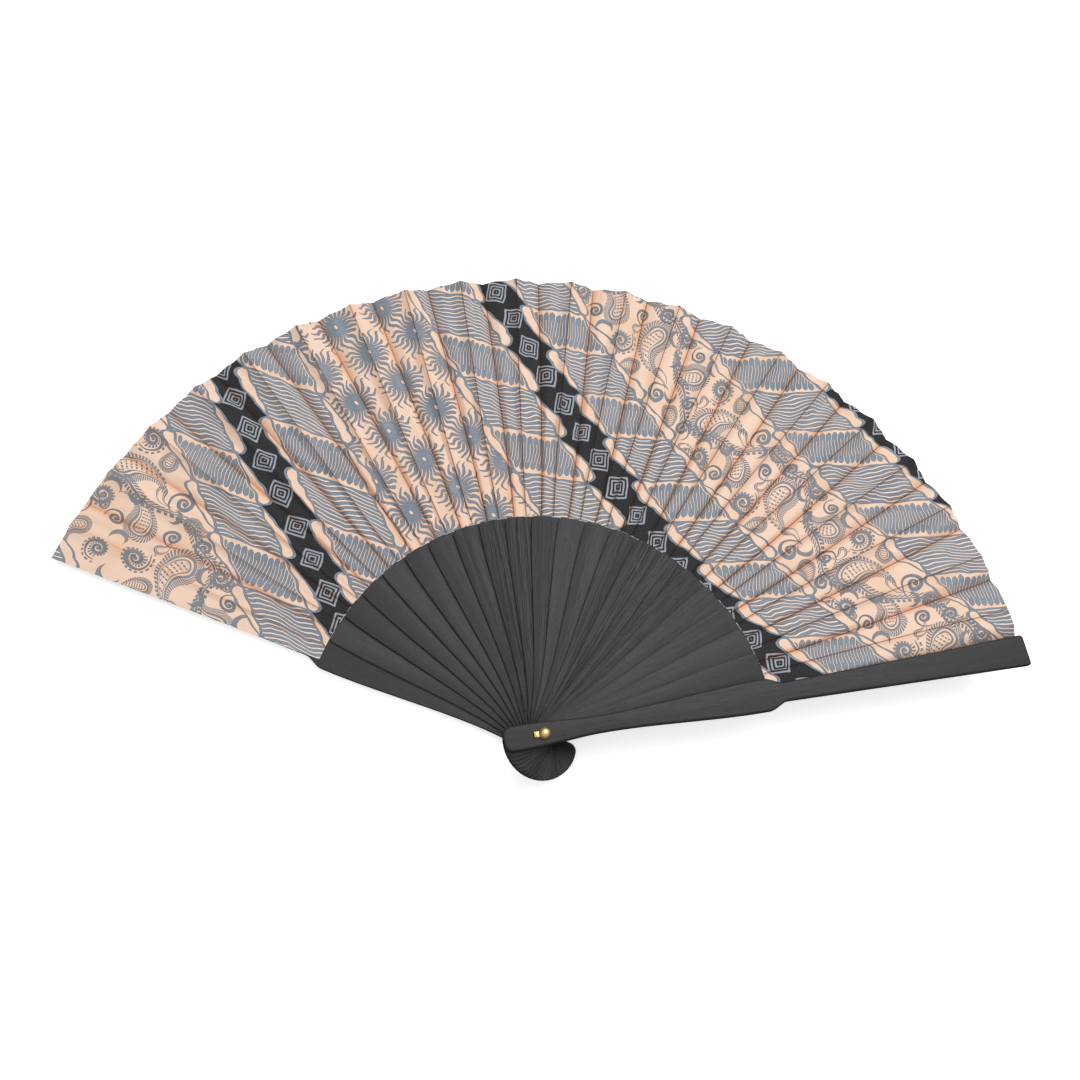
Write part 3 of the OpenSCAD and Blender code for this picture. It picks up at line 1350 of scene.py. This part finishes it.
@dataclass
class PleatedLeaf:
    """The cloth leaf, one fold for each gap between two sticks."""

    plan: FanPlan
    depth: float = 2.7 * MM        # height of a crease over the slip, at the rim
    tuck: float = 6.8 * MM         # half the width of a folded pleat
    glued: float = 1.85 * MM       # half the width that is glued flat to a slip
    lap: float = 0.25 * MM         # how much nearer to the shoulders the cloth starts
    cloth: float = 0.14 * MM       # thickness of the cloth
    gather: float = 1.17           # flat angle of the cloth for each unit of open angle
    flat_turn: float = math.radians(-43)   # direction across the print's bands on the flat cloth
    clear: float = 0.12 * MM       # air between folded layers at a limit
    wrinkle: float = 0.22 * MM     # height of the soft wrinkles at the rim
    rows: int = 64
    panel_steps: int = 9

    FLAT = "flat_mm"               # attribute: place on the flat cloth, and distance from the rivet
    FOLD = "fold_mm"               # attribute: distance to a crease, which one, how dark its painted shade line is

    def build(self) -> None:
        """Makes every fold of the leaf."""
        cotton = PrintedCotton()
        face, back = cotton.make(Side.FACE), cotton.make(Side.BACK)
        for index in range(self.plan.last):
            piece = self.fold(index)
            piece.data.materials.append(face)
            piece.data.materials.append(back)
            self.thicken(piece)
            self.join(piece, index)
            LOG.info("leaf fold %02d: %d faces", index, len(piece.data.polygons))

    def join(self, piece: bpy.types.Object, index: int) -> None:
        """Bakes a fold's place into its mesh and hides the CAD pleats that it covers.

        Args:
            piece: the fold.
            index: the stick on its left.
        """
        plan = self.plan
        middle = plan.direction(index + 0.5)
        towards = Vector((math.sin(middle), -math.cos(middle), 0.0))
        plan.stick(index)
        plan.stick(index + 1)
        tuple(-self.tuck * towards)
        tuple(self.tuck * towards)
        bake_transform(piece)
        covered = [f"pleat_{index:02d}"]
        turn = self.gather * plan.pitch
        if index == 0:
            turn += end_angle("pleat_00", plan, index)
        if index == plan.last - 1:
            covered.append(f"pleat_{plan.last:02d}")
            turn += end_angle(covered[-1], plan, index)
        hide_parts(*covered)
        cut = turn * (plan.leaf_outer ** 2 - plan.leaf_inner ** 2) / 2
        turn * plan.leaf_outer

    def fold(self, index: int) -> bpy.types.Object:
        """Builds one fold: half a panel, a mountain, a panel, a valley and half a panel.

        Args:
            index: the stick on the fold's left, counted from the back guard.

        Returns:
            The new object, one sheet of faces.
        """
        plan = self.plan
        spread = np.linspace(0.0, 1.0, self.rows + 1)
        start = plan.leaf_inner - self.lap
        radii = start + (plan.leaf_outer - start) * spread
        cosine, sine = math.cos(self.flat_turn), math.sin(self.flat_turn)
        places, flats, folds = [], [], []
        for row, radius in enumerate(radii):
            across, height, crease, lift = self.profile(index, radius)
            run = np.hypot(np.diff(across * radius * plan.pitch), np.diff(height))
            inside = (across >= -1e-9) & (across <= 1 + 1e-9)
            track = np.concatenate([[0.0], np.cumsum(run)])
            start, stop = track[inside][0], track[inside][-1]
            share = (track - start) / (stop - start)
            direction = plan.direction(index + across)
            level = height + self.ruffle(index, across, spread[row])
            places.append(np.stack([radius * np.cos(direction), radius * np.sin(direction), level],
                                   axis=1))
            flat_angle = self.gather * plan.pitch * (index + share)
            flat_x, flat_y = radius * np.cos(flat_angle) / MM, radius * np.sin(flat_angle) / MM
            flats.append(np.stack([-(flat_x * cosine + flat_y * sine),
                                   flat_y * cosine - flat_x * sine,
                                   np.full_like(share, radius / MM)], axis=1))
            sharp = np.full_like(crease, self.sharpness(index))
            folds.append(np.stack([crease / MM, lift, sharp], axis=1))
        name = f"leaf_fold_{index:02d}"
        return self.sheet_object(name, np.array(places), np.array(flats), np.array(folds))

    @staticmethod
    def sharpness(index: int) -> float:
        """How dark the painted shade along a fold's creases is: the first folds lie nearly flat.

        Args:
            index: the stick on the left.

        Returns:
            The strength of that painted shade, up to 1.
        """
        return min(1.0, 0.25 + 0.11 * index)

    def profile(self, index: int, radius: float) -> "tuple[np.ndarray, ...]":
        """One line of the fold at a radius.

        Args:
            index: the stick on the left.
            radius: distance from the rivet's axis.

        Returns:
            Place between the sticks from 0 to 1, height, distance to the nearest crease, and
            1 where that is the mountain or -1 where it is the valley.
        """
        plan = self.plan
        width = plan.pitch * radius
        bend = (1 - math.sqrt(max(0.0, 1 - 4 * 2 * self.tuck / (6 * width)))) / 2
        ridge = (width / 2 - self.tuck + 2 * self.tuck * bend) / width
        steps = self.panel_steps
        half = np.linspace(0.0, 1.0, steps + 1)
        half = half * (1.35 - 0.35 * half)
        middle = (1 - np.cos(np.pi * np.linspace(0.0, 1.0, 2 * steps + 1))) / 2
        across = np.concatenate([ridge * half, (ridge + (1 - 2 * ridge) * middle)[1:],
                                 (1 - ridge * half[::-1])[1:]])
        side = np.concatenate([np.zeros(steps + 1), np.ones(2 * steps - 1),
                               np.full(steps + 1, 2.0)])
        folded = self.folded(across * width, width)
        reach = self.folded(np.array([ridge * width]), width)[0]
        shape_x = np.linspace(0.0, ridge, 60) * width
        shape_folded = np.maximum.accumulate(self.folded(shape_x, width)) / reach
        climb = (shape_x - self.glued) / (ridge * width - self.glued)
        shape_z = np.clip(climb, 0.0, 1.0) ** 1.15
        crest, trough = self.limits(index, radius)
        drop = np.where(side > 1, trough, crest)
        amount = np.interp(np.abs(folded) / reach, shape_folded, shape_z)
        share = (reach - folded) / (2 * reach)
        near, far = plan.levels[index], plan.levels[index + 1]
        low_to_high = np.where(side < 1, 0.0, np.where(side > 1, 1.0, np.clip(share, 0, 1)))
        drop = np.where(side == 1, np.where(folded > 0, crest, trough), drop)
        height = near + (far - near) * low_to_high + np.sign(folded) * amount * drop
        crease = np.minimum(np.abs(across - ridge), np.abs(across - 1 + ridge)) * width
        lift = np.where(across < 0.5, 1.0, -1.0)
        return self.with_ends(index, across, height, crease, lift)

    def with_ends(self, index: int, across: np.ndarray, height: np.ndarray,
                  crease: np.ndarray, lift: np.ndarray) -> "tuple[np.ndarray, ...]":
        """Carries the first and last fold on over their guards.

        Args:
            index: the stick on the fold's left.
            across: place between the sticks.
            height: height of each point.
            crease: distance of each point to the nearest crease.
            lift: which crease is near.

        Returns:
            The four arrays, with the strip over a guard added.
        """
        plan = self.plan
        node = "pleat_00" if index == 0 else f"pleat_{plan.last:02d}"
        if index not in (0, plan.last - 1):
            return across, height, crease, lift
        spill = end_angle(node, plan, index) / plan.pitch
        extra = np.linspace(spill, 0.0, 5)[:-1]
        flat = np.full(len(extra), height[0] if index == 0 else height[-1])
        far = np.full(len(extra), 9 * MM)
        ones = np.zeros(len(extra))
        if index == 0:
            return (np.concatenate([-extra, across]), np.concatenate([flat, height]),
                    np.concatenate([far, crease]), np.concatenate([ones, lift]))
        return (np.concatenate([across, 1 + extra[::-1]]), np.concatenate([height, flat]),
                np.concatenate([crease, far]), np.concatenate([lift, ones]))

    def folded(self, x: np.ndarray, width: float) -> np.ndarray:
        """Where a point lies from its stick when the fan is closed.

        Args:
            x: distance from the stick on the open fan.
            width: distance between the two sticks.

        Returns:
            The place across the closed fan.
        """
        t = np.clip((x - (width / 2 - self.tuck)) / (2 * self.tuck), 0, 1)
        return x - width * t * t * (3 - 2 * t)

    def limits(self, index: int, radius: float) -> "tuple[float, float]":
        """Height of a fold's mountain and depth of its valley, kept between the guards.

        Args:
            index: the stick on the left.
            radius: distance from the rivet's axis.

        Returns:
            The height and the depth.
        """
        plan = self.plan
        spread = max(radius - plan.leaf_inner, 0.0) / (plan.leaf_outer - plan.leaf_inner)
        share = (0.2 + 0.8 * spread ** 0.8) * min(1.0, 0.45 + 0.14 * index)
        top, floor = plan.levels[-1], plan.levels[0]
        room_up = top - plan.levels[index] - self.clear * (plan.last - index)
        room_down = plan.levels[index + 1] - floor - self.clear * (index + 1)
        depth = self.depth * share
        return min(depth, max(room_up, 0.0)), min(depth, max(room_down, 0.0))

    def ruffle(self, index: int, across: np.ndarray, spread: float) -> np.ndarray:
        """Small soft wrinkles that fade out at sticks, creases and both edges.

        Args:
            index: the stick on the left.
            across: place between the sticks.
            spread: how far towards the rim, from 0 to 1.

        Returns:
            The height of each point.
        """
        place = index + across
        fade = np.sin(np.pi * np.clip(across, 0, 1)) ** 2
        waves = (np.sin(7.1 * place + 9.0 * spread) * np.sin(17.0 * spread + 2.3 * index)
                 + 0.6 * np.sin(13.7 * place - 21.0 * spread + 1.1 * index))
        calm = min(1.0, 0.22 * (self.plan.last - 1 - index))
        return self.wrinkle * waves * fade * calm * (0.35 + 0.65 * spread)

    def sheet_object(self, name: str, places: np.ndarray, flats: np.ndarray,
                     folds: np.ndarray) -> bpy.types.Object:
        """Object with one quad between neighbouring points, face up.

        Args:
            name: its name.
            places: rows of points.
            flats: each point's FLAT values.
            folds: each point's FOLD values.

        Returns:
            The object.
        """
        rows, columns = places.shape[:2]
        faces = []
        for row in range(rows - 1):
            for column in range(columns - 1):
                first = row * columns + column
                faces.append((first, first + 1, first + columns + 1, first + columns))
        mesh = bpy.data.meshes.new(name)
        mesh.from_pydata(places.reshape(-1, 3).tolist(), [], faces)
        for label, values in ((self.FLAT, flats), (self.FOLD, folds)):
            layer = mesh.attributes.new(label, "FLOAT_VECTOR", "POINT")
            layer.data.foreach_set("vector", values.reshape(-1).astype(np.float32))
        piece = bpy.data.objects.new(name, mesh)
        bpy.context.scene.collection.objects.link(piece)
        return piece

    def thicken(self, piece: bpy.types.Object) -> None:
        """Gives the cloth its thickness and its back.

        Args:
            piece: the fold.
        """
        select_only(piece)
        wall = piece.modifiers.new("cloth", "SOLIDIFY")
        wall.thickness = self.cloth
        wall.offset = -1.0
        wall.material_offset = 1
        bpy.ops.object.modifier_apply(modifier=wall.name)
        bpy.ops.object.shade_smooth_by_angle(angle=math.radians(38))


def end_angle(node: str, plan: FanPlan, index: int) -> float:
    """How far a guard's pleat reaches past its stick.

    Args:
        node: the guard's pleat.
        plan: the fan's plan.
        index: the fold's number.

    Returns:
        The angle in radians.
    """
    outwards = 1.0 if index == 0 else -1.0
    stick = plan.direction(0 if index == 0 else plan.last)
    points = [v.co for v in frame["nodes"][node].data.vertices]
    return max(outwards * (math.atan2(point.y, point.x) - stick) for point in points)


# ---------------------------------------------------------------- setting


@dataclass(frozen=True)
class Studio:
    """Camera, pale floor and soft light."""

    lens: float = 35.26
    target: "tuple[float, float, float]" = (-0.00664, 0.08875, 0.0)
    distance: float = 0.4665
    azimuth: float = math.radians(-15.8)
    elevation: float = math.radians(69.4)
    roll: float = math.radians(22.5)
    floor_tone: float = 0.8        # what the camera sees of the floor
    floor_glow: float = 0.60
    floor_bounce: float = 0.09     # what the fan gets back from it
    sky_low: float = 0.06
    sky_rise: float = 1.13
    key_place: "tuple[float, float, float]" = (0.35, 0.75, 1.3)
    key_aim: "tuple[float, float, float]" = (0.0, 0.09, 0.0)
    key_size: float = 1.1
    key_power: float = 15.5

    def build(self) -> None:
        """Sets up everything round the fan."""
        self.camera()
        self.floor()
        self.lights()

    def camera(self) -> None:
        """Places the camera."""
        data = bpy.data.cameras.new("camera")
        data.lens = self.lens
        data.sensor_width = 36.0
        data.clip_start = 0.01
        away = Vector((math.sin(self.azimuth) * math.cos(self.elevation),
                       -math.cos(self.azimuth) * math.cos(self.elevation),
                       math.sin(self.elevation)))
        turn = away.to_track_quat("Z", "Y").to_matrix() @ Matrix.Rotation(self.roll, 3, "Z")
        camera = bpy.data.objects.new("camera", data)
        place = Vector(self.target) + away * self.distance
        camera.matrix_world = Matrix.Translation(place) @ turn.to_4x4()
        bpy.context.scene.collection.objects.link(camera)
        bpy.context.scene.camera = camera

    def floor(self) -> None:
        """Adds the pale surface that the fan lies on."""
        bpy.ops.object.select_all(action="DESELECT")
        bpy.ops.mesh.primitive_plane_add(size=6.0, location=(0.0, 0.0, -0.02 * MM))
        floor = bpy.context.object
        floor.name = "floor"
        material, bench, bsdf = shader("pale floor")
        bsdf.inputs["Base Color"].default_value = (self.floor_tone,) * 3 + (1.0,)
        bsdf.inputs["Emission Color"].default_value = (1.0, 1.0, 1.0, 1.0)
        bsdf.inputs["Emission Strength"].default_value = self.floor_glow
        bsdf.inputs["Roughness"].default_value = 0.9
        bsdf.inputs["Specular IOR Level"].default_value = 0.1
        bounce = bench.node("ShaderNodeBsdfDiffuse")
        bounce.inputs["Color"].default_value = (self.floor_bounce,) * 3 + (1.0,)
        path = bench.node("ShaderNodeLightPath")
        mix = bench.node("ShaderNodeMixShader")
        output = material.node_tree.nodes["Material Output"]
        bench.tree.links.new(path.outputs["Is Camera Ray"], mix.inputs[0])
        bench.tree.links.new(bounce.outputs[0], mix.inputs[1])
        bench.tree.links.new(bsdf.outputs[0], mix.inputs[2])
        bench.tree.links.new(mix.outputs[0], output.inputs["Surface"])
        floor.data.materials.append(material)

    def lights(self) -> None:
        """Adds a surround that is brightest overhead, and a soft box."""
        world = bpy.data.worlds.new("studio")
        world.use_nodes = True
        bench = Bench(world.node_tree)
        background = world.node_tree.nodes["Background"]
        background.inputs["Color"].default_value = (1.0, 1.0, 1.0, 1.0)
        place = Wire(bench, bench.node("ShaderNodeTexCoord").outputs["Generated"])
        _, _, height = bench.split(place)
        sky = self.sky_low + bench.math("POWER", bench.most(height, 0.0), 2.0) * self.sky_rise
        seen = Wire(bench, bench.node("ShaderNodeLightPath").outputs["Is Camera Ray"])
        bench.feed(background.inputs["Strength"], bench.choose(seen, sky, 1.0))
        bpy.context.scene.world = world
        bpy.context.scene.view_settings.view_transform = "Standard"
        data = bpy.data.lights.new("key", "AREA")
        data.size = self.key_size
        data.energy = self.key_power
        lamp = bpy.data.objects.new("key", data)
        aim = (Vector(self.key_aim) - Vector(self.key_place)).to_track_quat("-Z", "Y")
        lamp.matrix_world = Matrix.Translation(self.key_place) @ aim.to_matrix().to_4x4()
        bpy.context.scene.collection.objects.link(lamp)


def main() -> None:
    """Builds the fan from its sticks out to its leaf."""
    logging.basicConfig(level=logging.INFO, format="%(name)s %(message)s")
    Studio().build()
    plan = FanPlan.read()
    Sticks(plan).build()
    Rivet().build()
    PleatedLeaf(plan).build()


if __name__ == "__main__":
    main()
